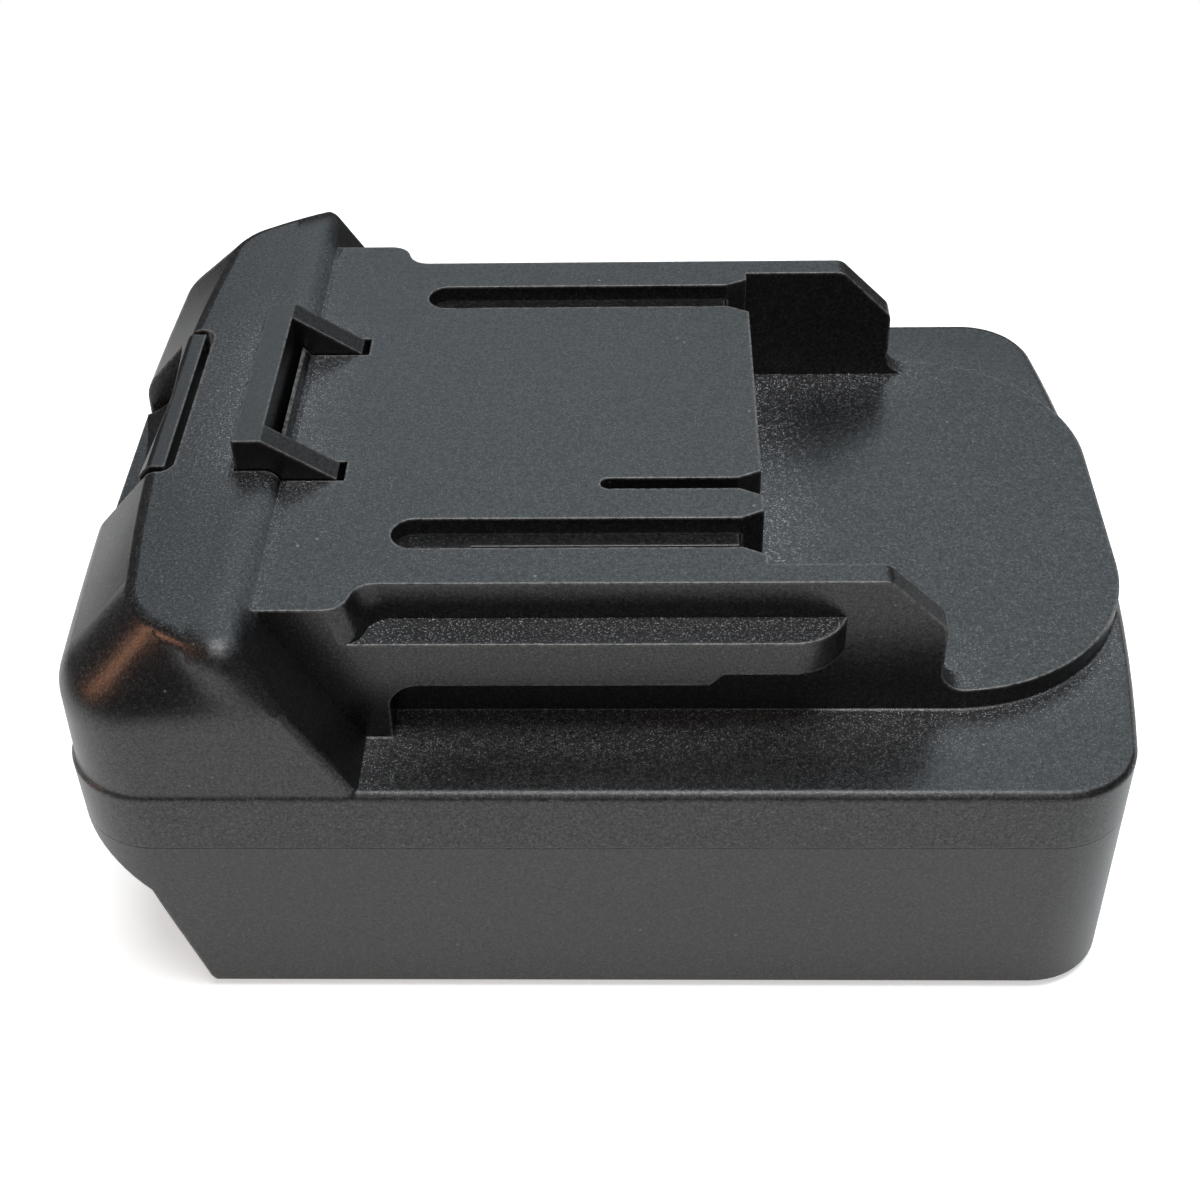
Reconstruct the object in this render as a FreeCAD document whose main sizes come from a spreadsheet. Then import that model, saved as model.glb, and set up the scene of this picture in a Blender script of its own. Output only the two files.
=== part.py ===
import FreeCAD, Part
import math
import os
import Sketcher

# Power tool battery adapter, millimetres. X runs along the slide, with the release button at -X and
# the input terminals at +X. Y runs across it, Z is up, and the rim of the donor dock stands on Z = 0.

Vector = FreeCAD.Vector
UP = Vector(0, 0, 1)

document = FreeCAD.newDocument("battery_adapter")
dims = document.addObject("Spreadsheet::Sheet", "dims")

DRIVING_SIZES = {
    # body outline, seen from above
    "half_length": 51.0,
    "half_width": 38.6,
    "button_end_bow": 650.0,
    "plateau_end_bow": 203.0,
    "button_end_corner": 8.2,
    "plateau_end_corner": 7.6,
    # levels
    "seam_level": 20.3,
    "ledge_level": 27.2,
    "plateau_level": 29.5,
    "platform_level": 42.8,
    "hump_level": 44.0,
    # shell
    "wall": 2.2,
    "skin": 1.95,
    "nose_wall": 3.2,
    "ledge_chamfer": 0.55,
    "rim_chamfer": 0.8,
    "edge_gap": 0.3,
    # sloped underside of the nose and sloped ends of the dock walls
    "knee_reach": 7.5,
    "knee_level": 14.2,
    "toe_reach": 11.6,
    "nose_rise": 6.9,
    "nose_round": 3.4,
    "toe_round": 1.4,
    # end hump
    "hump_inset": 0.35,
    "hump_side_inset": 0.2,
    "hump_crease_level": 36.9,
    "hump_crease_inset": 0.7,
    "ridge_reach": 6.9,
    "ridge_side_inset": 0.5,
    "ridge_bow": 212.0,
    "ridge_shoulder": 11.1,
    "ridge_corner_reach": 12.05,
    "ridge_corner_side": 4.7,
    "ridge_corner_round": 7.6,
    "ridge_round": 1.5,
    "crease_round": 4.0,
    "slope_foot_reach": 28.35,
    "slope_top_reach": 19.7,
    "slope_corner_top": 2.2,
    "slope_corner_foot": 1.0,
    "hump_inner_bevel": 4.1,
    # platform, rails and arms
    "post_half_width": 31.0,
    "tower_half_width": 27.4,
    "post_step_reach": 25.65,
    "post_step_run": 4.4,
    "post_step_lean": 1.4,
    "rail_top_level": 38.7,
    "rail_thickness": 5.0,
    "rail_length": 41.85,
    "rail_tip_run": 5.0,
    "rail_lead_in_run": 12.4,
    "rail_lead_in_rise": 1.3,
    "rail_foot_width": 5.25,
    "rail_foot_round": 2.8,
    "platform_length": 45.7,
    "arm_reach": 16.3,
    "arm_thickness": 2.6,
    "arm_chamfer": 5.6,
    "arm_round": 1.5,
    "arm_foot_round": 2.4,
    "plateau_inset": 0.6,
    "plateau_corner": 18.3,
    # terminal slots
    "slot_spacing": 40.56,
    "slot_width": 4.26,
    "slot_length": 34.4,
    "slot_mouth_level": 34.4,
    "slot_mouth_flare": 1.1,
    "signal_slot_side": 12.87,
    "signal_slot_width": 1.65,
    "signal_slot_length": 15.3,
    "slit_width": 0.9,
    "slit_length": 27.2,
    "signal_slit_length": 14.3,
    "slit_depth": 5.4,
    # release latch
    "latch_half_width": 12.05,
    "latch_top_level": 47.3,
    "latch_bar_reach": 15.47,
    "latch_bar_thickness": 2.78,
    "latch_arm_width": 2.65,
    "latch_ramp_run": 6.7,
    "latch_gap": 0.2,
    "latch_end_gap": 0.75,
    "latch_guide_width": 1.5,
    "latch_guide_level": 33.0,
    "latch_plate_thickness": 3.2,
    "tongue_gap": 0.7,
    "button_half_width": 11.45,
    "button_gap": 0.85,
    "notch_corner": 1.5,
    "button_strip": 1.65,
    "button_height": 15.4,
    "button_shell": 2.0,
    "button_rim": 1.0,
    "button_hollow_height": 4.6,
    "scoop_radius": 8.3,
    "lip_drop": 10.2,
    "lip_dish": 1.3,
    "notch_floor_drop": 20.5,
    # return springs
    "spring_reach": 12.5,
    "spring_spacing": 14.0,
    "spring_diameter": 5.4,
    "spring_wire": 0.7,
    "spring_turns": 4.5,
    "spring_post_width": 6.4,
    "spring_pin_diameter": 3.2,
    "spring_pin_length": 3.0,
    "spring_seat_level": 26.0,
    # donor dock
    "dock_side": 9.1,
    "dock_roof_level": 16.5,
    "dock_length": 92.0,
    "dock_rail_width": 4.0,
    "dock_rail_thickness": 3.0,
    "dock_rail_reach": 15.0,
    "dock_roof_thickness": 2.0,
    "dock_wall": 2.2,
    "catch_reach": 13.0,
    "catch_length": 6.0,
    "catch_width": 18.0,
    "catch_depth": 3.8,
    "catch_wall": 1.5,
    "side_channel_floor": 3.0,
    # screws
    "screw_inset": 4.6,
    "front_screw_reach": 21.0,
    "back_screw_reach": 15.0,
    "screw_diameter": 2.7,
    "screw_length": 16.0,
    "screw_head_diameter": 5.2,
    "screw_head_height": 2.4,
    "screw_seat_level": 8.0,
    "lower_pillar_width": 8.0,
    "upper_pillar_width": 6.0,
    "screw_gap": 0.15,
    "thread_gap": 0.05,
    # circuit board and what it carries
    "board_front_reach": 29.0,
    "board_length": 46.0,
    "board_half_width": 24.0,
    "board_level": 22.0,
    "board_thickness": 1.6,
    "board_corner": 1.0,
    "standoff_width": 4.4,
    "standoff_inset": 3.5,
    "chip_reach": 9.0,
    "chip_length": 8.0,
    "chip_width": 6.0,
    "chip_height": 1.4,
    "chip_lift": 0.2,
    "chip_lead_width": 0.7,
    "chip_lead_pitch": 2.0,
    "chip_lead_reach": 1.0,
    "transistor_reach": 27.0,
    "transistor_size": 6.2,
    "transistor_height": 2.3,
    "transistor_tab_length": 2.1,
    "transistor_tab_width": 5.0,
    "transistor_tab_height": 0.6,
    "transistor_spacing": 8.0,
    "capacitor_reach": 16.0,
    "capacitor_side": 9.0,
    "capacitor_diameter": 8.0,
    "capacitor_height": 8.0,
    "capacitor_base_width": 8.3,
    "capacitor_base_height": 1.0,
    "fuse_reach": 38.5,
    "fuse_side": 8.0,
    "fuse_length": 8.0,
    "fuse_width": 4.6,
    "fuse_height": 3.0,
    "fuse_cap_length": 1.6,
    "fuse_tube_width": 3.7,
    "fuse_tube_height": 2.5,
    # output contacts
    "carrier_length": 32.8,
    "carrier_depth": 6.35,
    "carrier_cover": 1.2,
    "contact_metal": 0.5,
    "contact_spread": 2.8,
    "contact_pinch": 0.55,
    "contact_flare": 0.4,
    "contact_mouth": 1.0,
    "contact_gap": 0.3,
    "contact_length": 20.0,
    "signal_contact_length": 9.0,
    "contact_leg_width": 2.0,
    # input terminal block and blades
    "block_length": 10.0,
    "block_half_width": 16.5,
    "block_bottom_level": 6.5,
    "block_flange": 2.0,
    "block_flange_thickness": 1.5,
    "blade_spacing": 12.7,
    "blade_thickness": 0.8,
    "blade_length": 11.5,
    "sense_blade_length": 8.0,
    "blade_height": 6.0,
    "blade_bottom_level": 8.2,
    "blade_nose": 0.8,
    "blade_tail_reach": 8.0,
    "blade_tail_width": 1.8,
    "blade_tail_level": 21.8,
    "blade_fit": 0.05,
    # leads
    "lead_diameter": 2.2,
    "lead_bend": 1.6,
    "lead_landing": 3.5,
}


class Size:
    """A length known both as a number and as the sheet expression that gives it."""

    def __init__(self, number, text):
        self.number = number
        self.text = text

    def combine(self, other, number, sign, swapped=False):
        first, second = (other, self) if swapped else (self, other)
        return Size(number, f"({first.text} {sign} {second.text})")

    def __add__(self, other):
        other = as_size(other)
        return self.combine(other, self.number + other.number, "+")

    def __radd__(self, other):
        return as_size(other) + self

    def __sub__(self, other):
        other = as_size(other)
        return self.combine(other, self.number - other.number, "-")

    def __rsub__(self, other):
        return as_size(other) - self

    def __mul__(self, other):
        other = as_size(other)
        return self.combine(other, self.number * other.number, "*")

    def __rmul__(self, other):
        return as_size(other) * self

    def __truediv__(self, other):
        other = as_size(other)
        return self.combine(other, self.number / other.number, "/")

    def __neg__(self):
        return Size(-self.number, f"(0 - {self.text})")

    def root(self):
        return Size(math.sqrt(self.number), f"sqrt({self.text})")


def as_size(value):
    return value if isinstance(value, Size) else Size(float(value), repr(float(value)))


def fill_sheet():
    for row, (name, value) in enumerate(DRIVING_SIZES.items(), start=1):
        dims.set(f"A{row}", name)
        dims.set(f"B{row}", str(value))
        dims.setAlias(f"B{row}", name)
    document.recompute()


def size(name):
    return Size(float(dims.get(name)), f"dims.{name}")


def bind(thing, name, value):
    """Sets a length of an object and binds it to the sheet."""
    value = as_size(value)
    setattr(thing, name, value.number)
    if "dims." in value.text:
        thing.setExpression(name, value.text)


def bind_path(thing, path, value):
    """Binds one part of a placement to the sheet."""
    thing.setExpression(path, as_size(value).text)


fill_sheet()

# Places and levels that several pieces share.
button_end = -size("half_length")
plateau_end = size("half_length")
half_width = size("half_width")
wall = size("wall")
seam = size("seam_level")
ledge = size("ledge_level")
platform = size("platform_level")
hump_top = size("hump_level")
skin_bottom = platform - size("skin")
slope_top = button_end + size("slope_top_reach")
slope_foot = button_end + size("slope_foot_reach")
tower_right = slope_top + size("platform_length")
arm_end = tower_right + size("arm_reach")
slot_center = size("slot_spacing") / 2
latch_bar_left = button_end + size("latch_bar_reach")
latch_bar_right = latch_bar_left + size("latch_bar_thickness")
latch_end = latch_bar_right + size("latch_ramp_run")
strip_left = button_end + size("ridge_reach")
strip_right = strip_left + size("button_strip")
plate_top = hump_top - wall - size("edge_gap")
plate_bottom = plate_top - size("latch_plate_thickness")
roof_top = size("dock_roof_level") + size("dock_roof_thickness")
dock_end = button_end + size("dock_length")
spring_x = button_end + size("spring_reach")
spring_y = size("spring_spacing") / 2
board_left = button_end + size("board_front_reach")
board_right = board_left + size("board_length")
board_top = size("board_level") + size("board_thickness")
carrier_right = tower_right - wall - size("edge_gap") / 2
carrier_left = carrier_right - size("carrier_length")
carrier_bottom = skin_bottom - size("carrier_depth")
block_right = dock_end - size("edge_gap")
block_left = block_right - size("block_length")

# How far a cut runs clear of the solid, and how far a form runs past the face it meets.
OUTSIDE = 60.0
HIGH = 60.0
CLEAR = 5.0
OVERLAP = 1.0


def left(radius):
    return (1, as_size(radius))


def right(radius):
    return (-1, as_size(radius))


def mirrored(corners):
    """The same outline on the other side of the centre plane."""
    flipped = []
    for corner in corners:
        turn = [(-corner[2][0], corner[2][1])] if len(corner) == 3 else []
        flipped.append((corner[0], -as_size(corner[1]), *turn))
    return flipped


def arc_between(start, end, turn, radius):
    """The arc from start to end that turns left (1) or right (-1); a sketch stores it anticlockwise."""
    chord = end - start
    half = chord.Length / 2
    normal = Vector(-chord.y, chord.x, 0).normalize() * turn
    center = (start + end) / 2 + normal * math.sqrt(max(radius ** 2 - half ** 2, 0.0))
    first, last = (start, end) if turn > 0 else (end, start)
    angles = [math.atan2(point.y - center.y, point.x - center.x) for point in (first, last)]
    return Part.ArcOfCircle(Part.Circle(center, UP, radius), *angles)


def outline_sketch(body, name, role, offset, corners):
    """A closed sketch. A corner is (u, v), or (u, v, left(r)) where an arc leads to the next corner."""
    sketch = body.newObject("Sketcher::SketchObject", name)
    plane = [feature for feature in body.Origin.OriginFeatures if feature.Role == role][0]
    sketch.AttachmentSupport = [(plane, "")]
    sketch.MapMode = "FlatFace"
    bind_path(sketch, "AttachmentOffset.Base.z", offset)
    places = [(as_size(corner[0]), as_size(corner[1])) for corner in corners]
    points = [Vector(u.number, v.number, 0) for u, v in places]
    count = len(corners)
    shapes, ends, rules, sizes = [], [], [], []
    for index, corner in enumerate(corners):
        start, end = points[index], points[(index + 1) % count]
        if len(corner) == 3:
            turn, radius = corner[2]
            shapes.append(arc_between(start, end, turn, radius.number))
            ends.append((1, 2) if turn > 0 else (2, 1))
        else:
            shapes.append(Part.LineSegment(start, end))
            ends.append((1, 2))
    for index, corner in enumerate(corners):
        following = (index + 1) % count
        rules.append(Sketcher.Constraint("Coincident", index, ends[index][1], following, ends[following][0]))
        sizes.append(None)
        for kind, place in zip(("DistanceX", "DistanceY"), places[index]):
            rules.append(Sketcher.Constraint(kind, -1, 1, index, ends[index][0], place.number))
            sizes.append(place)
        if len(corner) == 3:
            rules.append(Sketcher.Constraint("Radius", index, corner[2][1].number))
            sizes.append(corner[2][1])
    sketch.addGeometry(shapes, False)
    sketch.addConstraint(rules)
    for index, value in enumerate(sizes):
        if value is not None and "dims." in value.text:
            sketch.setExpression(f"Constraints[{index}]", value.text)
    return sketch


def plane_offset(role, level):
    """The XZ plane of a body faces -Y, so a place along Y is measured backwards there."""
    return -as_size(level) if role == "XZ_Plane" else as_size(level)


def pad(body, name, role, low, high, corners):
    base = high if role == "XZ_Plane" else low
    feature = body.newObject("PartDesign::Pad", name)
    feature.Profile = outline_sketch(body, name + "_outline", role, plane_offset(role, base), corners)
    bind(feature, "Length", as_size(high) - low)
    return feature


def pocket(body, name, role, low, high, corners):
    base = low if role == "XZ_Plane" else high
    feature = body.newObject("PartDesign::Pocket", name)
    feature.Profile = outline_sketch(body, name + "_outline", role, plane_offset(role, base), corners)
    bind(feature, "Length", as_size(high) - low)
    return feature


def loft(body, kind, name, role, sections, ruled=True):
    """A loft through parallel outlines; kind is AdditiveLoft or SubtractiveLoft."""
    sketches = [outline_sketch(body, f"{name}_{index}", role, plane_offset(role, level), corners)
                for index, (level, corners) in enumerate(sections)]
    feature = body.newObject("PartDesign::" + kind, name)
    feature.Profile = sketches[0]
    feature.Sections = sketches[1:]
    feature.Ruled = ruled
    return feature


def finish_edges(body, kind, name, amount, wanted):
    """A Fillet or Chamfer on the edges of the body as it is now that the test picks."""
    document.recompute()
    solid = body.Tip
    names = [f"Edge{index}" for index, edge in enumerate(solid.Shape.Edges, start=1) if wanted(edge)]
    feature = body.newObject("PartDesign::" + kind, name)
    feature.Base = (solid, names)
    bind(feature, "Radius" if kind == "Fillet" else "Size", amount)
    return feature


def lies_at(edge, level):
    return all(abs(vertex.Z - level.number) < 1e-4 for vertex in edge.Vertexes)


def middle(edge):
    return edge.valueAt((edge.FirstParameter + edge.LastParameter) / 2)


def rectangle(x_low, x_high, y_low, y_high):
    return [(x_low, y_low), (x_high, y_low), (x_high, y_high), (x_low, y_high)]


def rounded_rectangle(x_low, x_high, y_low, y_high, radius):
    return [(x_low + radius, y_low), (x_high - radius, y_low, left(radius)),
            (x_high, y_low + radius), (x_high, y_high - radius, left(radius)),
            (x_high - radius, y_high), (x_low + radius, y_high, left(radius)),
            (x_low, y_high - radius), (x_low, y_low + radius, left(radius))]


def bevelled_rectangle(x_low, x_high, y_low, y_high, cut):
    return [(x_low + cut, y_low), (x_high - cut, y_low), (x_high, y_low + cut), (x_high, y_high - cut),
            (x_high - cut, y_high), (x_low + cut, y_high), (x_low, y_high - cut), (x_low, y_low + cut)]


def square(x, y, width):
    return rectangle(x - width / 2, x + width / 2, y - width / 2, y + width / 2)


def circle(x, y, radius):
    """A round outline as four quarter arcs."""
    return [(x + radius, y, left(radius)), (x, y + radius, left(radius)),
            (x - radius, y, left(radius)), (x, y - radius, left(radius))]


def bowed_corner(apex, bow, corner, side, sense):
    """Where the corner arc meets the bowed end: sense is 1 at the +X end and -1 at the -X end."""
    rise = side - corner
    reach = ((bow - corner) * (bow - corner) - rise * rise).root()
    bow_center = apex - sense * bow
    corner_x = bow_center + sense * reach
    scale = bow / (bow - corner)
    return corner_x, bow_center + sense * reach * scale, rise * scale


def body_outline(inset, nose_inset=None):
    """The outline of the body from above, set in by a wall; both ends are bowed."""
    nose_inset = inset if nose_inset is None else nose_inset
    side = half_width - inset
    near_bow = size("button_end_bow")
    far_bow = size("plateau_end_bow")
    near_corner = size("button_end_corner") - inset
    far_corner = size("plateau_end_corner") - inset
    near_x, near_tip_x, near_tip_y = bowed_corner(button_end + nose_inset, near_bow, near_corner, side, -1)
    far_x, far_tip_x, far_tip_y = bowed_corner(plateau_end - inset, far_bow, far_corner, side, 1)
    return [(near_x, -side), (far_x, -side, left(far_corner)),
            (far_tip_x, -far_tip_y, left(far_bow)), (far_tip_x, far_tip_y, left(far_corner)),
            (far_x, side), (near_x, side, left(near_corner)),
            (near_tip_x, near_tip_y, left(near_bow)), (near_tip_x, -near_tip_y, left(near_corner))]


def slope_end(level, side, corner):
    """The end of a hump outline at a level: it turns into the sloped face with a round corner."""
    end = slope_x(level)
    return [(end - corner, -side, left(corner)), (end, -side + corner), (end, side - corner, left(corner)),
            (end - corner, side)]


def hump_wall_outline(level, end_inset, side_inset):
    """The outline of the hump up to its crease: it follows the body and ends in the slope."""
    side = half_width - side_inset
    corner = size("button_end_corner") - side_inset
    bow = size("button_end_bow")
    corner_x, tip_x, tip_y = bowed_corner(button_end + end_inset, bow, corner, side, -1)
    return [(corner_x, -side), *slope_end(level, side, size("slope_corner_foot")),
            (corner_x, side, left(corner)), (tip_x, tip_y, left(bow)), (tip_x, -tip_y, left(corner))]


def hump_ridge_outline():
    """The outline of the flat top of the hump: the bevel fades out along each side."""
    side = half_width - size("ridge_side_inset")
    bow = size("ridge_bow")
    tip_y = half_width - size("ridge_shoulder")
    tip_x = button_end + size("ridge_reach") + bow - (bow * bow - tip_y * tip_y).root()
    corner_x = button_end + size("ridge_corner_reach")
    corner_y = half_width - size("ridge_corner_side")
    corner = size("ridge_corner_round")
    return [(corner_x, -corner_y), *slope_end(hump_top, side, size("slope_corner_top")),
            (corner_x, corner_y, left(corner)), (tip_x, tip_y, left(bow)), (tip_x, -tip_y, left(corner))]


def slope_x(level):
    """Where the sloped face of the hump is at a level."""
    run = (slope_foot - slope_top) / (platform - ledge)
    return slope_top + (platform - level) * run


def cut_nose(body):
    """Cuts the sloped underside of the nose and the sloped ends of the dock walls."""
    knee_x = button_end + size("knee_reach")
    knee = size("knee_level")
    toe_x = button_end + size("toe_reach")
    slope = size("nose_rise") / size("knee_reach")
    length = (1 + slope * slope).root()
    radius = size("nose_round")
    tangent = radius * (length - slope)
    nose = knee + size("nose_rise")
    toe = size("toe_round")
    toe_run = (toe_x - knee_x) / knee
    pocket(body, "nose_underside", "XZ_Plane", -OUTSIDE, OUTSIDE, [
        (button_end - CLEAR, nose + tangent), (button_end, nose + tangent, left(radius)),
        (button_end + tangent / length, nose - tangent * slope / length),
        (knee_x, knee), (toe_x - toe * toe_run, toe, left(toe * 2)),
        (toe_x + toe, 0.0), (toe_x + toe, -CLEAR), (button_end - CLEAR, -CLEAR)])


def screw_places():
    front = button_end + size("front_screw_reach")
    back = plateau_end - size("back_screw_reach")
    side = half_width - size("screw_inset")
    return [(front, -side), (front, side), (back, -side), (back, side)]


def new_body(label):
    body = document.addObject("PartDesign::Body", label)
    body.Label = label
    return body


def make_lower_housing():
    body = new_body("lower_housing")
    pad(body, "tub", "XY_Plane", 0.0, seam, body_outline(0.0))
    finish_edges(body, "Chamfer", "rim_edge", size("rim_chamfer"), lambda edge: lies_at(edge, as_size(0)))
    cut_nose(body)
    dock_half = half_width - size("dock_side")
    rail = size("dock_rail_width")
    shelf = size("dock_rail_thickness")
    roof = size("dock_roof_level")
    pocket(body, "dock", "YZ_Plane", -OUTSIDE, dock_end, [
        (-dock_half + rail, -OVERLAP), (dock_half - rail, -OVERLAP), (dock_half - rail, shelf),
        (dock_half, shelf), (dock_half, roof), (-dock_half, roof), (-dock_half, shelf), (-dock_half + rail, shelf)])
    rail_start = button_end + size("dock_rail_reach")
    channel_low = dock_half + size("dock_wall")
    channel_high = half_width - wall - size("edge_gap")
    channel_left = rail_start
    channel_right = dock_end - size("dock_wall")
    for side, sense in (("near", -1), ("far", 1)):
        low = dock_half - rail - OVERLAP
        corners = rectangle(-OUTSIDE, rail_start, low, dock_half)
        pocket(body, side + "_rail_entry", "XY_Plane", -OVERLAP, shelf,
               corners if sense > 0 else mirrored(corners))
        corners = rectangle(channel_left, channel_right, channel_low, channel_high)
        pocket(body, side + "_channel", "XY_Plane", size("side_channel_floor"), seam,
               corners if sense > 0 else mirrored(corners))
    inner_left = button_end + size("knee_reach") - size("edge_gap")
    pocket(body, "roof_tray", "XY_Plane", roof_top, seam,
           rectangle(inner_left, plateau_end - wall * 2, -channel_low, channel_low))
    cavity_half = dock_half - size("dock_rail_width")
    pocket(body, "end_cavity", "XY_Plane", size("side_channel_floor"), seam, rectangle(
        dock_end + size("dock_wall"), plateau_end - wall * 2, -cavity_half, cavity_half))
    catch = button_end + size("catch_reach")
    catch_half = size("catch_width") / 2
    catch_wall = size("catch_wall")
    catch_top = roof + size("catch_depth")
    pad(body, "catch_housing", "XY_Plane", roof_top, catch_top + catch_wall, rectangle(
        catch - catch_wall, catch + size("catch_length") + catch_wall,
        -catch_half - catch_wall, catch_half + catch_wall))
    pocket(body, "catch_recess", "XY_Plane", roof - OVERLAP, catch_top,
           rectangle(catch, catch + size("catch_length"), -catch_half, catch_half))
    block_gap = size("edge_gap")
    block_half = size("block_half_width") + block_gap
    pocket(body, "block_window", "XY_Plane", roof - OVERLAP, roof_top + OVERLAP,
           rectangle(block_left - block_gap, dock_end, -block_half, block_half))
    for index, (x, y) in enumerate(screw_places()):
        pad(body, f"pillar_{index}", "XY_Plane", size("rim_chamfer"), seam,
            square(x, y, size("lower_pillar_width")))
        seat = size("screw_head_diameter") / 2 + size("screw_gap")
        pocket(body, f"head_recess_{index}", "XY_Plane", -OVERLAP, size("screw_seat_level"), circle(x, y, seat))
        shank = size("screw_diameter") / 2 + size("screw_gap")
        pocket(body, f"screw_hole_{index}", "XY_Plane", 0.0, seam + OVERLAP, circle(x, y, shank))
    for index, y in enumerate((-spring_y, spring_y)):
        seat = size("spring_seat_level")
        pad(body, f"spring_post_{index}", "XY_Plane", catch_top, seat,
            square(spring_x, y, size("spring_post_width")))
        pad(body, f"spring_pin_{index}", "XY_Plane", seat, seat + size("spring_pin_length"),
            circle(spring_x, y, size("spring_pin_diameter") / 2))
    for index, (x, y) in enumerate(standoff_places()):
        pad(body, f"standoff_{index}", "XY_Plane", roof_top, size("board_level"),
            square(x, y, size("standoff_width")))
    return body


def standoff_places():
    inset = size("standoff_inset")
    side = size("board_half_width") - inset
    return [(x, y) for x in (board_left + inset, board_right - inset) for y in (-side, side)]


def make_upper_housing():
    body = new_body("upper_housing")
    pad(body, "band", "XY_Plane", seam, ledge, body_outline(0.0))
    cut_nose(body)
    finish_edges(body, "Chamfer", "ledge_edge", size("ledge_chamfer"), lambda edge: lies_at(edge, ledge))
    crease = size("hump_crease_level")
    inset = size("hump_side_inset")
    sections = [(ledge - OVERLAP, hump_wall_outline(ledge - OVERLAP, size("hump_inset"), inset)),
                (crease, hump_wall_outline(crease, size("hump_crease_inset"), inset)),
                (hump_top, hump_ridge_outline())]
    loft(body, "AdditiveLoft", "hump", "XY_Plane", sections)
    finish_edges(body, "Fillet", "hump_crease", size("crease_round"),
                 lambda edge: lies_at(edge, crease) and middle(edge).x < strip_left.number)
    finish_edges(body, "Fillet", "hump_ridge", size("ridge_round"), lambda edge: lies_at(edge, hump_top))
    post = size("post_half_width")
    tower = size("tower_half_width")
    rail_tip = button_end + size("post_step_reach") + size("rail_length") + size("rail_tip_run")
    tip_run = size("rail_tip_run")
    tip_drop = post - tower
    tip_round = (tip_run * tip_run + tip_drop * tip_drop) / (tip_drop * 2)
    pad(body, "rail_block", "XY_Plane", ledge - OVERLAP, platform, [
        (slope_top, -post), (rail_tip - tip_run, -post, left(tip_round)), (rail_tip, -tower),
        (rail_tip, tower, left(tip_round)), (rail_tip - tip_run, post), (slope_top, post)])
    foot_top = size("rail_top_level") - size("rail_thickness")
    lift = size("rail_lead_in_rise")
    lead_x = rail_tip - size("rail_lead_in_run")
    foot_x = button_end + size("post_step_reach") + size("rail_foot_width")
    foot_round = size("rail_foot_round")
    for name, low, high in (("near", -OUTSIDE, -tower), ("far", tower, OUTSIDE)):
        pocket(body, name + "_rail_groove", "XZ_Plane", low, high, [
            (foot_x, ledge), (rail_tip + CLEAR, ledge), (rail_tip + CLEAR, foot_top + lift),
            (lead_x + lift, foot_top + lift), (lead_x, foot_top),
            (foot_x + foot_round, foot_top, left(foot_round)), (foot_x, foot_top - foot_round)])
    for name, flip in (("near", True), ("far", False)):
        sections = []
        for level, shift in ((platform + OVERLAP, as_size(0)),
                             (size("rail_top_level"), size("post_step_lean"))):
            corners = step_outline(tower, post, shift, rail_tip)
            sections.append((level, mirrored(corners) if flip else corners))
        loft(body, "SubtractiveLoft", name + "_rail_shelf", "XY_Plane", sections)
    add_arms(body, tower)
    pad(body, "plateau", "XY_Plane", ledge - OVERLAP, size("plateau_level"), plateau_outline(tower))
    hollow_upper_housing(body, tower)
    return body


def step_outline(tower, post, shift, rail_tip):
    """The space above a rail: it starts at an S-shaped step in the side of the platform."""
    start = button_end + size("post_step_reach") + shift
    run = size("post_step_run")
    depth = post - tower
    swing = (run * run + depth * depth) / (depth * 4)
    outside = post + CLEAR
    return [(start, post, right(swing)), (start + run / 2, tower + depth / 2, left(swing)),
            (start + run, tower), (rail_tip + CLEAR, tower), (rail_tip + CLEAR, outside), (start, outside)]


def add_arms(body, tower):
    """Two arms carry the platform's side walls past its end and stop over the plateau."""
    chamfer = size("arm_chamfer")
    turn = size("arm_round")
    tangent = turn * (as_size(2).root() - 1)
    lean = tangent / as_size(2).root()
    foot = size("arm_foot_round")
    plateau = size("plateau_level")
    for name, low, high in (("near", -tower, -tower + size("arm_thickness")),
                            ("far", tower - size("arm_thickness"), tower)):
        pad(body, name + "_arm", "XZ_Plane", low, high, [
            (tower_right - wall, ledge), (arm_end + foot, ledge), (arm_end + foot, plateau, right(foot)),
            (arm_end, plateau + foot), (arm_end, platform - chamfer - tangent, left(turn)),
            (arm_end - lean, platform - chamfer + lean),
            (arm_end - chamfer + lean, platform - lean, left(turn)),
            (arm_end - chamfer - tangent, platform), (tower_right - wall, platform)])


def plateau_outline(tower):
    corner = size("plateau_corner")
    right_x = plateau_end - size("plateau_inset")
    left_x = tower_right - wall
    return [(left_x, -tower), (right_x - corner, -tower, left(corner)), (right_x, -tower + corner),
            (right_x, tower - corner, left(corner)), (right_x - corner, tower), (left_x, tower)]


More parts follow.
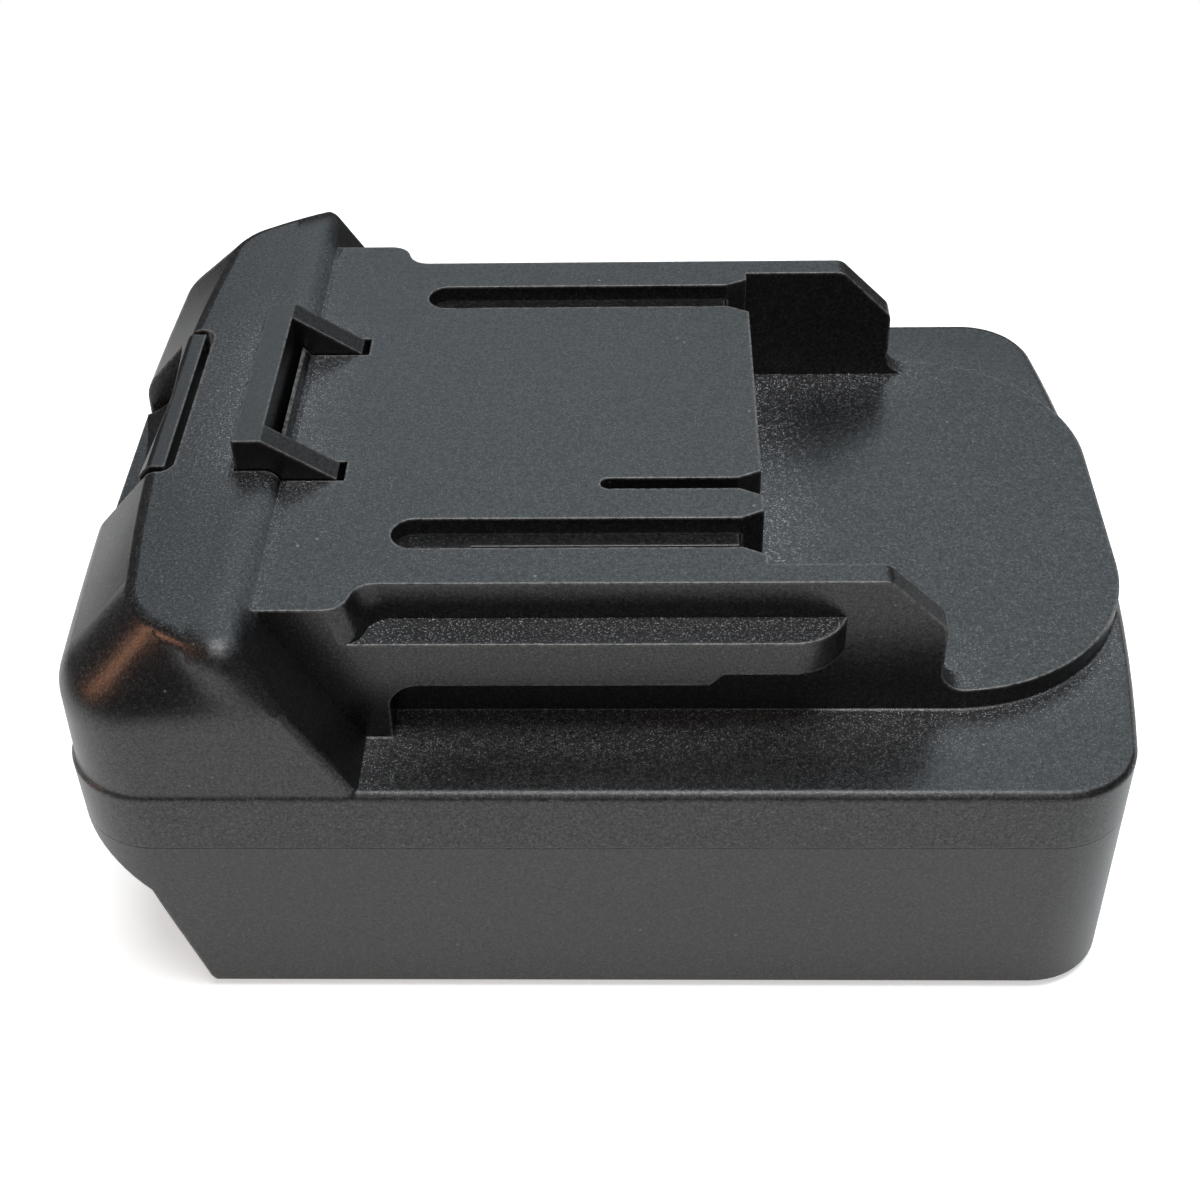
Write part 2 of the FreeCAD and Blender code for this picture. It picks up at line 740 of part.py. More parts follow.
def hollow_upper_housing(body, tower):
    """The inside of the shell, the terminal slots and the openings for the latch."""
    inside = tower - wall - size("edge_gap")
    pocket(body, "band_inside", "XY_Plane", seam - OVERLAP, ledge - wall, body_outline(wall, size("nose_wall")))
    pocket(body, "between_arms", "XY_Plane", size("plateau_level"), HIGH, rectangle(
        tower_right, OUTSIDE, -tower + size("arm_thickness"), tower - size("arm_thickness")))
    pocket(body, "tower_inside", "XY_Plane", seam, skin_bottom,
           rectangle(slope_top + OVERLAP, tower_right - wall, -inside, inside))
    plateau_half = tower - size("plateau_corner") / 2
    pocket(body, "plateau_inside", "XY_Plane", seam, size("plateau_level") - wall, rectangle(
        tower_right - wall - OVERLAP, plateau_end - wall * 3, -plateau_half, plateau_half))
    inner_left = button_end + size("nose_wall") + size("hump_inset")
    inner_right = slope_top - wall * 1.5
    inner_side = half_width - wall - size("hump_side_inset")
    pocket(body, "hump_inside", "XY_Plane", seam + OVERLAP, size("hump_crease_level") - size("edge_gap"),
           bevelled_rectangle(inner_left, inner_right, -inner_side, inner_side, size("hump_inner_bevel")))
    top_side = half_width - size("ridge_corner_side") - wall * 2
    pocket(body, "hump_inside_top", "XY_Plane", seam + OVERLAP, hump_top - wall, bevelled_rectangle(
        strip_left + wall / 2, inner_right - wall / 4, -top_side, top_side, wall / 2))
    add_screw_pillars(body)
    open_latch_well(body)
    open_slots(body)


def add_screw_pillars(body):
    for index, (x, y) in enumerate(screw_places()):
        pad(body, f"pillar_{index}", "XY_Plane", seam, ledge - wall / 2,
            square(x, y, size("upper_pillar_width")))
        pocket(body, f"screw_hole_{index}", "XY_Plane", seam - OVERLAP, ledge - wall,
               circle(x, y, size("screw_diameter") / 2 + size("thread_gap")))


def open_latch_well(body):
    """The notch for the button, the opening for the hook and the guides between them."""
    floor = hump_top - size("notch_floor_drop")
    notch_half = size("button_half_width") + size("button_gap")
    notch_right = strip_right + size("button_gap")
    corner = size("notch_corner")
    pocket(body, "button_notch", "XY_Plane", floor, HIGH, [
        (-OUTSIDE, -notch_half), (notch_right - corner, -notch_half, left(corner)),
        (notch_right, -notch_half + corner), (notch_right, notch_half - corner, left(corner)),
        (notch_right - corner, notch_half), (-OUTSIDE, notch_half)])
    hook_half = size("latch_half_width") + size("latch_gap")
    hook_left = latch_bar_left - size("latch_gap")
    hook_right = latch_end + size("latch_end_gap")
    pocket(body, "latch_well", "XY_Plane", seam, skin_bottom, rectangle(
        hook_left - OVERLAP, slope_top + wall, -hook_half, hook_half))
    tongue_left = latch_bar_right + size("tongue_gap")
    tongue_half = size("latch_half_width") - size("latch_arm_width") - size("latch_gap")
    pocket(body, "hook_opening", "XY_Plane", skin_bottom - OVERLAP, HIGH, [
        (hook_left, -hook_half), (hook_right, -hook_half), (hook_right, -tongue_half),
        (tongue_left, -tongue_half), (tongue_left, tongue_half), (hook_right, tongue_half),
        (hook_right, hook_half), (hook_left, hook_half)])
    guide_low = size("button_half_width") + size("edge_gap")
    guide = rectangle(notch_right + size("edge_gap"), hook_left - size("edge_gap"),
                      guide_low, guide_low + size("latch_guide_width"))
    for name, corners in (("near", mirrored(guide)), ("far", guide)):
        pad(body, name + "_latch_guide", "XY_Plane", size("latch_guide_level"), hump_top - wall / 2, corners)


def open_slots(body):
    """Two power slots and one signal slot, each with a mouth through the end wall."""
    wide = size("slot_width") / 2
    thin = size("signal_slot_width") / 2
    flare = size("slot_mouth_flare")
    for name, y, half, length in (("near", -slot_center, wide, size("slot_length")),
                                  ("far", slot_center, wide, size("slot_length")),
                                  ("signal", -size("signal_slot_side"), thin, size("signal_slot_length"))):
        start = tower_right - length + half
        pocket(body, name + "_slot", "XY_Plane", skin_bottom - OVERLAP / 2, HIGH, [
            (start, y - half), (tower_right + OVERLAP, y - half), (tower_right + OVERLAP, y + half),
            (start, y + half, left(half)), (start - half, y, left(half))])
        pocket(body, name + "_slot_mouth", "XY_Plane", size("slot_mouth_level"), HIGH, [
            (tower_right - wall - OVERLAP, y - half), (tower_right - wall, y - half),
            (tower_right, y - half - flare), (tower_right + OVERLAP, y - half - flare),
            (tower_right + OVERLAP, y + half + flare), (tower_right, y + half + flare),
            (tower_right - wall, y + half), (tower_right - wall - OVERLAP, y + half)])


def make_release_latch():
    body = new_body("release_latch")
    half = size("button_half_width")
    hook = size("latch_half_width")
    top = size("latch_top_level")
    bottom = hump_top - size("button_height")
    pad(body, "plate", "XY_Plane", plate_bottom, plate_top, rectangle(strip_left, latch_bar_right, -half, half))
    crease = size("hump_crease_level")
    face_x = button_end + size("hump_crease_inset")
    pad(body, "button", "XZ_Plane", -half, half, [
        (button_end + size("hump_inset"), bottom), (strip_right, bottom), (strip_right, hump_top),
        (strip_left, hump_top), (face_x, crease)])
    finish_edges(body, "Fillet", "button_crease", size("crease_round"), lambda edge: lies_at(edge, crease))
    finish_edges(body, "Fillet", "button_ridge", size("ridge_round") / 2,
                 lambda edge: lies_at(edge, hump_top) and abs(middle(edge).x - strip_left.number) < 1e-4)
    lip = hump_top - size("lip_drop")
    scoop_half = half - size("button_rim")
    dish = size("lip_dish")
    sweep = (scoop_half * scoop_half + dish * dish) / (dish * 2)
    lip_x = face_x + dish
    axis_x = lip_x - sweep
    scoop = body.newObject("PartDesign::Groove", "scoop")
    scoop.Profile = outline_sketch(body, "scoop_outline", "XZ_Plane", 0.0, [
        (axis_x, lip), (lip_x, lip, left(size("scoop_radius"))), (strip_left, hump_top),
        (strip_left, hump_top + CLEAR), (axis_x, hump_top + CLEAR)])
    scoop.ReferenceAxis = (scoop.Profile[0], ["Edge5"])
    scoop.Angle = 360
    shell = size("button_shell")
    pocket(body, "button_hollow", "XY_Plane", bottom - OVERLAP, bottom + size("button_hollow_height"),
           rectangle(face_x + shell, strip_right - shell, -half + shell, half - shell))
    pad(body, "bar", "XY_Plane", plate_bottom, top, rectangle(latch_bar_left, latch_bar_right, -hook, hook))
    width = size("latch_arm_width")
    for name, low, high in (("near", -hook, -hook + width), ("far", hook - width, hook)):
        pad(body, name + "_arm", "XZ_Plane", low, high, [
            (latch_bar_left, plate_bottom), (latch_end, plate_bottom), (latch_end, platform),
            (latch_bar_right, top), (latch_bar_left, top)])
    return body


def wire_along(label, points, diameter):
    """A round wire along a run of points, as a six-sided bar mitred at every point."""
    start = points[0]
    direction = (points[1] - start).normalize()
    side = direction.cross(UP if abs(direction.z) < 0.9 else Vector(0, 1, 0)).normalize()
    other = direction.cross(side)
    rim = [start + (side * math.cos(math.radians(60 * turn)) + other * math.sin(math.radians(60 * turn)))
           * (diameter / 2) for turn in range(7)]
    wire = document.addObject("Part::Feature", label)
    wire.Label = label
    wire.Shape = Part.makePolygon(points).makePipeShell([Part.makePolygon(rim)], True, True, 1)
    return wire


def make_spring(label, y):
    """A compression spring that stands on its post and carries the latch plate."""
    wire = size("spring_wire").number
    coil = (size("spring_diameter").number - wire) / 2
    bottom = size("spring_seat_level").number + wire / 2
    rise = plate_bottom.number - wire / 2 - bottom
    steps = int(size("spring_turns").number * 8)
    points = []
    for step in range(steps + 1):
        angle = math.radians(45 * step)
        points.append(Vector(spring_x.number + coil * math.cos(angle), y.number + coil * math.sin(angle),
                             bottom + rise * step / steps))
    return wire_along(label, points, wire)


def contact_span(name):
    """Where a contact fork lies along X, and its place across Y."""
    if name == "signal":
        right_x = carrier_right - size("contact_metal") * 2
        return right_x - size("signal_contact_length"), right_x, -size("signal_slot_side")
    right_x = carrier_right - size("contact_metal") * 4
    return right_x - size("contact_length"), right_x, slot_center if name == "positive" else -slot_center


def make_contact_carrier():
    body = new_body("contact_carrier")
    half = size("tower_half_width") - wall - size("edge_gap") * 2
    pad(body, "block", "XY_Plane", carrier_bottom, skin_bottom,
        rectangle(carrier_left, carrier_right, -half, half))
    slit = size("slit_width") / 2
    gap = size("contact_gap")
    for name, length in (("positive", size("slit_length")), ("negative", size("slit_length")),
                         ("signal", size("signal_slit_length"))):
        low, high, y = contact_span(name)
        chamber = size("contact_spread") / 2 + gap
        pocket(body, name + "_slit", "XY_Plane", skin_bottom - size("slit_depth"), skin_bottom + OVERLAP,
               rectangle(tower_right - length, carrier_right + OVERLAP, y - slit, y + slit))
        pocket(body, name + "_chamber", "XY_Plane", carrier_bottom - OVERLAP,
               skin_bottom - size("carrier_cover"), rectangle(low - gap, high + gap, y - chamber, y + chamber))
    return body


def make_output_contact(name):
    """A sheet metal fork whose leaves pinch a blade; two legs carry it to the circuit board."""
    body = new_body(name + "_output_contact")
    low, high, y = contact_span(name)
    metal = size("contact_metal")
    side = size("contact_spread") / 2
    pinch = side - size("contact_pinch")
    top = skin_bottom - size("carrier_cover") - size("contact_gap")
    waist = top - size("contact_mouth")
    flare = pinch + size("contact_flare")
    pad(body, "fork", "YZ_Plane", low, high, [
        (y - side, carrier_bottom), (y + side, carrier_bottom), (y + pinch, waist), (y + flare, top),
        (y + flare - metal, top), (y + pinch - metal, waist), (y + side - metal, carrier_bottom + metal),
        (y - side + metal, carrier_bottom + metal), (y - pinch + metal, waist), (y - flare + metal, top),
        (y - flare, top), (y - pinch, waist)])
    leg = size("contact_leg_width")
    for index, x in enumerate((low, high - leg)):
        pad(body, f"leg_{index}", "XY_Plane", board_top, carrier_bottom + metal / 2,
            rectangle(x, x + leg, y - side / 2, y + side / 2))
    return body


def make_circuit_board():
    body = new_body("circuit_board")
    half = size("board_half_width")
    pad(body, "board", "XY_Plane", size("board_level"), board_top,
        rounded_rectangle(board_left, board_right, -half, half, size("board_corner")))
    return body


def box(name, x_low, x_high, y_low, y_high, z_low, z_high):
    thing = document.addObject("Part::Box", name)
    for side, low, high in (("Length", x_low, x_high), ("Width", y_low, y_high), ("Height", z_low, z_high)):
        bind(thing, side, as_size(high) - low)
    for axis, low in (("x", x_low), ("y", y_low), ("z", z_low)):
        bind_path(thing, "Placement.Base." + axis, low)
    return thing


def centered_box(name, x, y, length, width, z_low, height):
    return box(name, x - length / 2, x + length / 2, y - width / 2, y + width / 2, z_low, z_low + height)


def cylinder(name, x, y, diameter, z_low, z_high):
    thing = document.addObject("Part::Cylinder", name)
    bind(thing, "Radius", diameter / 2)
    bind(thing, "Height", as_size(z_high) - z_low)
    for axis, place in (("x", x), ("y", y), ("z", z_low)):
        bind_path(thing, "Placement.Base." + axis, place)
    return thing


def prism(name, x, y, diameter, z_low, z_high):
    """A twelve-sided bar, which stands in for a thread."""
    thing = document.addObject("Part::Prism", name)
    thing.Polygon = 12
    bind(thing, "Circumradius", diameter / 2)
    bind(thing, "Height", as_size(z_high) - z_low)
    for axis, place in (("x", x), ("y", y), ("z", z_low)):
        bind_path(thing, "Placement.Base." + axis, place)
    return thing


def fused(label, things):
    whole = document.addObject("Part::MultiFuse", label)
    whole.Label = label
    whole.Shapes = things
    return whole


def grouped(label, things):
    """Several like pieces, each its own solid, kept as one named group."""
    whole = document.addObject("Part::Compound", label)
    whole.Label = label
    whole.Links = things
    return whole


def make_control_chip():
    x = board_left + size("chip_reach")
    length = size("chip_length")
    width = size("chip_width")
    height = size("chip_height")
    things = [centered_box("chip_package", x, as_size(0), length, width, board_top + size("chip_lift"), height)]
    for index in range(4):
        lead_x = x + size("chip_lead_pitch") * (index - 1.5)
        things.append(centered_box("chip_leads", lead_x, as_size(0), size("chip_lead_width"),
                                   width + size("chip_lead_reach") * 2, board_top, height / 2))
    return fused("control_chip", things)


def make_power_transistors():
    x = board_left + size("transistor_reach")
    package = size("transistor_size")
    things = []
    for index in range(3):
        y = size("transistor_spacing") * (index - 1)
        height = size("transistor_height")
        things.append(fused(f"transistor_{index}", [
            centered_box("transistor_package", x, y, package, package, board_top, height),
            centered_box("transistor_tab", x - package / 2, y, size("transistor_tab_length"),
                         size("transistor_tab_width"), board_top, size("transistor_tab_height"))]))
    return grouped("power_transistors", things)


def make_filter_capacitor():
    x = board_left + size("capacitor_reach")
    y = size("capacitor_side")
    base = size("capacitor_base_width")
    base_height = size("capacitor_base_height")
    return fused("filter_capacitor", [
        centered_box("capacitor_base", x, y, base, base, board_top, base_height),
        cylinder("capacitor_can", x, y, size("capacitor_diameter"), board_top + base_height / 2,
                 board_top + size("capacitor_height"))])


def make_fuse():
    x = board_left + size("fuse_reach")
    y = -size("fuse_side")
    length = size("fuse_length")
    height = size("fuse_height")
    cap = size("fuse_cap_length")
    return fused("fuse", [
        centered_box("fuse_tube", x, y, length, size("fuse_tube_width"), board_top, size("fuse_tube_height")),
        centered_box("fuse_cap", x - length / 2, y, cap, size("fuse_width"), board_top, height),
        centered_box("fuse_cap", x + length / 2, y, cap, size("fuse_width"), board_top, height)])


def blade_outline(length, gap):
    """A terminal blade with its tail through the block; gap grows it into the seat it stands in."""
    low = size("blade_bottom_level") - gap
    high = size("blade_bottom_level") + size("blade_height") + gap
    tail_right = block_left + size("blade_tail_reach") + gap
    tail_left = tail_right - size("blade_tail_width") - gap * 2
    return low, high, tail_left, tail_right, block_left - length


def blade_places():
    spacing = size("blade_spacing")
    return (("positive", spacing, size("blade_length")), ("negative", -spacing, size("blade_length")),
            ("sense", as_size(0), size("sense_blade_length")))


def make_terminal_block():
    body = new_body("terminal_block")
    half = size("block_half_width")
    rim = size("block_flange")
    flange_top = roof_top + size("block_flange_thickness")
    pad(body, "block", "XY_Plane", size("block_bottom_level"), flange_top,
        rectangle(block_left, block_right, -half, half))
    pad(body, "flange", "XY_Plane", roof_top, flange_top,
        rectangle(block_left - rim, block_right + rim, -half - rim, half + rim))
    fit = size("blade_fit")
    thick = size("blade_thickness") / 2 + fit
    for name, y, length in blade_places():
        low, high, tail_left, tail_right, tip = blade_outline(length, fit)
        pocket(body, name + "_seat", "XZ_Plane", y - thick, y + thick, [
            (block_left - OVERLAP, low), (tail_right, low), (tail_right, flange_top + OVERLAP),
            (tail_left, flange_top + OVERLAP), (tail_left, high), (block_left - OVERLAP, high)])
    return body


def make_input_blade(name, y, length):
    body = new_body(name + "_input_blade")
    low, high, tail_left, tail_right, tip = blade_outline(length, as_size(0))
    thick = size("blade_thickness") / 2
    nose = size("blade_nose")
    pad(body, "blade", "XZ_Plane", y - thick, y + thick, [
        (tip + nose, low), (tail_right, low), (tail_right, size("blade_tail_level")),
        (tail_left, size("blade_tail_level")), (tail_left, high), (tip + nose, high),
        (tip, high - nose), (tip, low + nose)])
    return body


def make_lead(name, y):
    """An insulated lead from a blade's tail over to its pad on the circuit board."""
    low, high, tail_left, tail_right, tip = blade_outline(size("blade_length"), as_size(0))
    bend = size("lead_bend")
    start_x = (tail_left + tail_right) / 2
    start = size("blade_tail_level")
    level = board_top + bend + size("edge_gap")
    end_x = board_right - size("lead_landing")
    corner = bend * (1 - math.sqrt(0.5))
    route = [(start_x, start), (start_x, level - bend), (start_x - corner, level - corner),
             (start_x - bend, level), (end_x + bend, level), (end_x + corner, level - corner),
             (end_x, level - bend), (end_x, board_top)]
    points = [Vector(x.number, y.number, z.number) for x, z in route]
    return wire_along(name + "_lead", points, size("lead_diameter").number)


def make_housing_screws():
    things = []
    seat = size("screw_seat_level")
    for index, (x, y) in enumerate(screw_places()):
        things.append(fused(f"screw_{index}", [
            cylinder("screw_head", x, y, size("screw_head_diameter"), seat - size("screw_head_height"), seat),
            prism("screw_shank", x, y, size("screw_diameter"), seat - size("screw_head_height") / 2,
                  seat + size("screw_length"))]))
    return grouped("housing_screws", things)


def check_document():
    document.recompute()
    for thing in document.Objects:
        if "Invalid" in thing.State or "Error" in thing.State:
            raise RuntimeError(f"{thing.Name} is {thing.State}")


def write_parts(pieces):
    os.makedirs("parts", exist_ok=True)
    for piece in pieces:
        shape = piece.Shape
        if shape.isNull() or not shape.isValid():
            raise RuntimeError(f"{piece.Label} has no valid shape")
        shape.exportStep(f"parts/{piece.Label}.step")
        print(piece.Label, round(shape.Volume, 1), len(shape.Solids))


pieces = [
    make_lower_housing(), make_upper_housing(), make_release_latch(),
    make_spring("latch_spring_left", -spring_y), make_spring("latch_spring_right", spring_y),
    make_contact_carrier(), make_output_contact("positive"), make_output_contact("negative"),
    make_output_contact("signal"), make_circuit_board(), make_control_chip(), make_power_transistors(),
    make_filter_capacitor(), make_fuse(), make_terminal_block(), make_housing_screws()]
for name, y, length in blade_places():
    pieces += [make_input_blade(name, y, length), make_lead(name, y)]
check_document()
write_parts(pieces)
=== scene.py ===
import bpy
import math
from mathutils import Matrix, Vector


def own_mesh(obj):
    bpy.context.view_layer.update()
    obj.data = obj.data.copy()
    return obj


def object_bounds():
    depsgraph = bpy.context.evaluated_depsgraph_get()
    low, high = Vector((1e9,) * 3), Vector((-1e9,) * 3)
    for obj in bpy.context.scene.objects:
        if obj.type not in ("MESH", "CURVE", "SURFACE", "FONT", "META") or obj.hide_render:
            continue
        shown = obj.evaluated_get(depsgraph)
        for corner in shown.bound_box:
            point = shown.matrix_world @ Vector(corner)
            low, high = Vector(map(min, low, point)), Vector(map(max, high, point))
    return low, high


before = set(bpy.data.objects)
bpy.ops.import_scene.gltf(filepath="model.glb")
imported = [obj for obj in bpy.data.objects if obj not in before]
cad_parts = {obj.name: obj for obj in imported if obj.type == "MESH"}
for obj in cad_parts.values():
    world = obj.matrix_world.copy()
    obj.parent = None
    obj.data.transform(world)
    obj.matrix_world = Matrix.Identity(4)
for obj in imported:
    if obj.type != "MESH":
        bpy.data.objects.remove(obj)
cad_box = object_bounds()

MM = 0.001

# Levels of the object.
SEAM_LEVEL = 20.3 * MM
LEDGE_LEVEL = 27.2 * MM

# The camera's station, found from the straight edges of the body in the photograph.
FRAME_PIXELS = 1200.0
FOCAL_PIXELS = 1863.07
SENSOR_WIDTH = 36.0
CAMERA_PLACE = (3.64 * MM, -152.94 * MM, 150.02 * MM)
PITCH, YAW, ROLL = math.radians(41.0), math.radians(-1.98), math.radians(1.484)
NEAR_CLIP, FAR_CLIP = 0.01, 20.0

# Parts of the button end where its faces flow together: the span that each covers or fades in over.
SHOULDER_REACH = (-27.0 * MM, -31.0 * MM)
SHOULDER_SIDE = (31.0 * MM, 34.0 * MM)
SHOULDER_LEVELS = (30.0 * MM, 39.0 * MM)
SHOULDER_FADE = 2.0 * MM
CROWN_REACH = (-36.0 * MM, -30.8 * MM)
CROWN_FADE = 0.3 * MM
CROWN_LEVEL = (41.0 * MM, 42.0 * MM)
FLANK_REACH = (-35.0 * MM, -26.0 * MM)
FLANK_FADE = 1.0 * MM
FLANK_SIDE = (33.0 * MM, 34.0 * MM)
FLANK_LEVEL = (37.0 * MM, 39.0 * MM)

# Radii by which the shading rounds plain edges, the edge of the ledge and the flowing faces.
EDGE_RADIUS = 0.3 * MM
LEDGE_RADIUS = 0.7 * MM
FLOWING_RADIUS = 4.0 * MM
LEDGE_DEPTH = 1.2 * MM
LEDGE_FADE = 0.4 * MM
SHADING_SAMPLES = 8

# Grain of the mouldings: scales are in cells per metre. A pair is the span of a noise that a ramp takes.
CLOUD_SCALE, COARSE_SCALE, FINE_SCALE = 45.0, 3000.0, 6800.0
CLOUD_SPAN = (0.3, 0.75)
CLOUD_LIGHTENING = 1.4
COARSE_DEPTH, FINE_DEPTH = 0.018 * MM, 0.010 * MM
GRAIN_STRENGTH = 0.8
GRAIN_SPAN = (0.35, 0.65)
PIT_SPREAD = 0.15
PIT_SHADE = 0.45
SHINE_SPREAD = 0.04

# Dust with painted light, lint, and wear with a painted highlight, of the mouldings.
# The pale film and flecks are partly dust and partly painted light: they lighten the shade in the lee of
# walls and stand in for glints of the grain.
DUST_AND_LIGHT_COLOUR = (0.50, 0.50, 0.52, 1.0)
DUST_AND_LIGHT_FILM = 0.050
DUST_AND_LIGHT_LEE = 8.0 * MM
DUST_AND_LIGHT_IN_OPEN = 0.1
LOOKS_UP = (0.5, 0.9)
SKY_SEEN = (1.0, 0.5)
FLECK_FINE, FLECK_COARSE = (0.57, 0.66), (0.42, 0.58)
OPEN_FLECKS = 0.06
LINT_COLOUR = (0.42, 0.41, 0.38, 1.0)
LINT_SCALE, LINT_SIZE, LINT_SOFTNESS, LINT_AMOUNT = 420.0, 0.035, 0.04, 0.4
LINT_PATCH_SCALE = 150.0
LINT_PATCH_SPAN = (0.50, 0.62)
# The worn colour is partly wear and partly a painted highlight along outward edges, strongest up to the
# ledge.
WORN_AND_HIGHLIGHT_COLOUR = (0.34, 0.33, 0.32, 1.0)
EDGE_REACH = 0.35 * MM
EDGE_SPAN = (0.92, 0.62)
WEAR_AND_HIGHLIGHT_PATCH_SCALE = 1800.0
WEAR_AND_HIGHLIGHT_PATCH_SPAN = (0.36, 0.60)
WEAR_AND_HIGHLIGHT_LEAST = 0.15
WEAR_AND_HIGHLIGHT_LOW, WEAR_AND_HIGHLIGHT_HIGH, WEAR_AND_HIGHLIGHT_FADE = 0.8, 0.5, 1.0 * MM
WORN_ROUGHNESS = 0.2
SEAM_SHELTER = (0.6 * MM, 1.0 * MM)

# The floor with its own glow, as it is seen and as it is mirrored, and the light of the room.
FLOOR_COLOUR = 0.86
FLOOR_HALF_LENGTH, FLOOR_HALF_WIDTH, FLOOR_GAP = 0.26, 0.13, 0.2 * MM
GLOW_SEEN = 0.5
GLOW_MIRRORED = 0.15
ROOM_LIGHT = 0.08
LAMPS_AIM = (0.0, 0.0, 0.03)


def make_camera():
    forward = Vector((math.sin(YAW) * math.cos(PITCH), math.cos(YAW) * math.cos(PITCH), -math.sin(PITCH)))
    right = Vector((math.cos(YAW), -math.sin(YAW), 0.0))
    down = forward.cross(right)
    turned_right = right * math.cos(ROLL) + down * math.sin(ROLL)
    turned_down = down * math.cos(ROLL) - right * math.sin(ROLL)
    data = bpy.data.cameras.new("camera")
    data.sensor_fit = "HORIZONTAL"
    data.sensor_width = SENSOR_WIDTH
    data.lens = FOCAL_PIXELS * SENSOR_WIDTH / FRAME_PIXELS
    data.clip_start = NEAR_CLIP
    data.clip_end = FAR_CLIP
    camera = bpy.data.objects.new("camera", data)
    columns = (turned_right, -turned_down, -forward)
    rows = [[*(axis[row] for axis in columns), place] for row, place in enumerate(CAMERA_PLACE)]
    camera.matrix_world = Matrix(rows + [[0, 0, 0, 1]])
    bpy.context.collection.objects.link(camera)
    bpy.context.scene.camera = camera


class Nodes:
    """A new node material, and short names for the nodes that the finishes use."""

    def __init__(self, name):
        self.material = bpy.data.materials.new(name)
        self.material.use_nodes = True
        self.tree = self.material.node_tree
        self.shader = self.tree.nodes["Principled BSDF"]
        self.place = self.tree.nodes.new("ShaderNodeTexCoord").outputs["Object"]

    def add(self, kind, inputs=None, **settings):
        node = self.tree.nodes.new(kind)
        for name, value in settings.items():
            setattr(node, name, value)
        for name, value in (inputs or {}).items():
            self.feed(node.inputs[name], value)
        return node

    def feed(self, socket, value):
        if isinstance(value, bpy.types.NodeSocket):
            self.tree.links.new(value, socket)
        else:
            socket.default_value = value

    def finish(self, **values):
        """Feeds the shader; a name's underscores stand for spaces."""
        for name, value in values.items():
            self.feed(self.shader.inputs[name.replace("_", " ")], value)

    def along(self, axis):
        """How far along X, Y or Z a point of the object lies."""
        return self.add("ShaderNodeSeparateXYZ", {"Vector": self.place}).outputs[axis]

    def noise(self, scale, detail=2.0, roughness=0.5, stretch=None):
        place = self.place
        if stretch:
            place = self.add("ShaderNodeVectorMath", {0: place, 1: stretch}, operation="MULTIPLY").outputs[0]
        return self.add("ShaderNodeTexNoise", {"Vector": place, "Scale": scale, "Detail": detail,
                                               "Roughness": roughness}).outputs["Fac"]

    def spots(self, scale, size, softness):
        """Small round spots, one in each cell of a scattered pattern."""
        cells = self.add("ShaderNodeTexVoronoi", {"Vector": self.place, "Scale": scale, "Randomness": 1.0})
        return self.ramp(cells.outputs["Distance"], size, size + softness, 1.0, 0.0)

    def ramp(self, value, low, high, out_low=0.0, out_high=1.0):
        return self.add("ShaderNodeMapRange", {"Value": value, "From Min": low, "From Max": high,
                                               "To Min": out_low, "To Max": out_high}).outputs["Result"]

    def math(self, operation, first, second):
        return self.add("ShaderNodeMath", {0: first, 1: second}, operation=operation).outputs[0]

    def product(self, first, *others):
        for other in others:
            first = self.math("MULTIPLY", first, other)
        return first

    def size_of(self, value):
        return self.math("ABSOLUTE", value, 0.0)

    def mix(self, factor, first, second):
        node = self.add("ShaderNodeMix", data_type="RGBA")
        for socket, value in ((node.inputs[0], factor), (node.inputs[6], first), (node.inputs[7], second)):
            self.feed(socket, value)
        return node.outputs[2]

    def between(self, value, low, high, fade):
        """1 from low to high, falling to 0 over the fade on either side."""
        return self.product(self.ramp(value, low - fade, low), self.ramp(value, high + fade, high))

    def bump(self, height, strength, distance, normal=None):
        inputs = {"Height": height, "Strength": strength, "Distance": distance}
        if normal:
            inputs["Normal"] = normal
        return self.add("ShaderNodeBump", inputs).outputs["Normal"]


# Where on the object a finish applies.

def outward_edges(nodes, reach):
    """1 at the outward edges of a piece, falling to 0 beside them; hollow corners stay 0."""
    depth = nodes.add("ShaderNodeAmbientOcclusion", {"Distance": reach},
                      samples=SHADING_SAMPLES, inside=True, only_local=True)
    return nodes.ramp(depth.outputs["AO"], *EDGE_SPAN)


def flowing_faces(nodes):
    """1 where the faces of the button end flow together: shoulders, and top and flank of its slope."""
    outside = nodes.size_of(nodes.along("Y"))
    shoulder = nodes.product(nodes.ramp(nodes.along("X"), *SHOULDER_REACH),
                             nodes.ramp(outside, *SHOULDER_SIDE),
                             nodes.between(nodes.along("Z"), *SHOULDER_LEVELS, SHOULDER_FADE))
    crown = nodes.product(nodes.between(nodes.along("X"), *CROWN_REACH, CROWN_FADE),
                          nodes.ramp(nodes.along("Z"), *CROWN_LEVEL))
    flank = nodes.product(nodes.between(nodes.along("X"), *FLANK_REACH, FLANK_FADE),
                          nodes.ramp(outside, *FLANK_SIDE), nodes.ramp(nodes.along("Z"), *FLANK_LEVEL))
    return nodes.math("MAXIMUM", shoulder, nodes.math("MAXIMUM", crown, flank))


def dust_and_lit_lee(nodes):
    """Where dust and painted light go: faces that look up, more in the lee of walls, where shade falls, than
    in the open.
    """
    normal = nodes.add("ShaderNodeNewGeometry").outputs["Normal"]
    up = nodes.add("ShaderNodeSeparateXYZ", {"Vector": normal}).outputs["Z"]
    sky = nodes.add("ShaderNodeAmbientOcclusion", {"Distance": DUST_AND_LIGHT_LEE}, samples=SHADING_SAMPLES)
    sheltered = nodes.ramp(sky.outputs["AO"], *SKY_SEEN, DUST_AND_LIGHT_IN_OPEN, 1.0)
    return nodes.product(nodes.ramp(up, *LOOKS_UP), sheltered)


